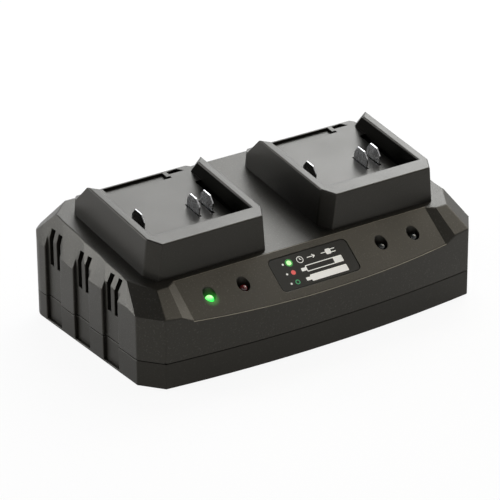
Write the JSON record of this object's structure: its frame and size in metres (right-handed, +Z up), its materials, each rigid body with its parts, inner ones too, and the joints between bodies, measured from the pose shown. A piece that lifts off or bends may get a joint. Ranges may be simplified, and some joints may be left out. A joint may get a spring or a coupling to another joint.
{
  "type": "power tool battery charger",
  "caption": "Desktop charger for cordless tool batteries: tilted docks with overhanging rails and contact blades on a vented case with a sloped status panel and a mains inlet.",
  "frame": {"origin": "on the table under the middle of the case", "axes": "+X along the front towards the right dock, +Y towards the back wall, +Z up"},
  "size_m": [0.22, 0.1294, 0.0839],
  "materials": {
    "case_lower": "fine texture",
    "case_upper": "fine texture",
    "dock": "fine texture",
    "contact": "satin",
    "terminal_plastic": "matt",
    "lead_insulation": "matt",
    "label": "printed film",
    "led_green_lit": "clear dome",
    "led_red": "clear dome",
    "led_green": "clear dome",
    "board": "solder mask",
    "ferrite": "matt",
    "winding_tape": "tape",
    "capacitor_sleeve": "shrink sleeve",
    "heat_sink": "satin",
    "choke": "matt",
    "relay": "smooth",
    "fuse_glass": "clear",
    "clip": "satin",
    "inlet_plastic": "matt",
    "pin_metal": "polished",
    "fan_plastic": "matt",
    "impeller_plastic": "matt",
    "rubber": "matt",
    "screw": "satin"
  },
  "bodies": {
    "charger": {"lower_case": "case_lower", "upper_case": "case_upper", "left_dock": "dock", "right_dock": "dock", "left_blade_a": "contact", "left_blade_b": "contact", "left_blade_c": "contact", "right_blade_a": "contact", "right_blade_b": "contact", "right_blade_c": "contact", "left_terminal_block": "terminal_plastic", "right_terminal_block": "terminal_plastic", "left_leads": "lead_insulation", "right_leads": "lead_insulation", "status_label": "label", "led_1": "led_green_lit", "led_2": "led_red", "led_3": "led_green", "led_4": "led_green", "led_board": "board", "main_board": "board", "transformer_core": "ferrite", "transformer_winding": "winding_tape", "capacitor_1": "capacitor_sleeve", "capacitor_2": "capacitor_sleeve", "heat_sink_1": "heat_sink", "heat_sink_2": "heat_sink", "choke": "choke", "relay": "relay", "fuse": "fuse_glass", "fuse_clips": "clip", "mains_inlet": "inlet_plastic", "inlet_pins": "pin_metal", "fan_frame": "fan_plastic", "rubber_feet": "rubber", "case_screws": "screw", "board_screws": "screw", "led_board_screws": "screw", "terminal_screws": "screw"},
    "fan_rotor": {"fan_impeller": "impeller_plastic"}
  },
  "joints": [
    {"name": "fan_spin", "type": "hinge", "parent": "charger", "child": "fan_rotor", "pos_m": [0.0965, 0.01, 0.034], "axis": [1, 0, 0], "continuous": true}
  ]
}
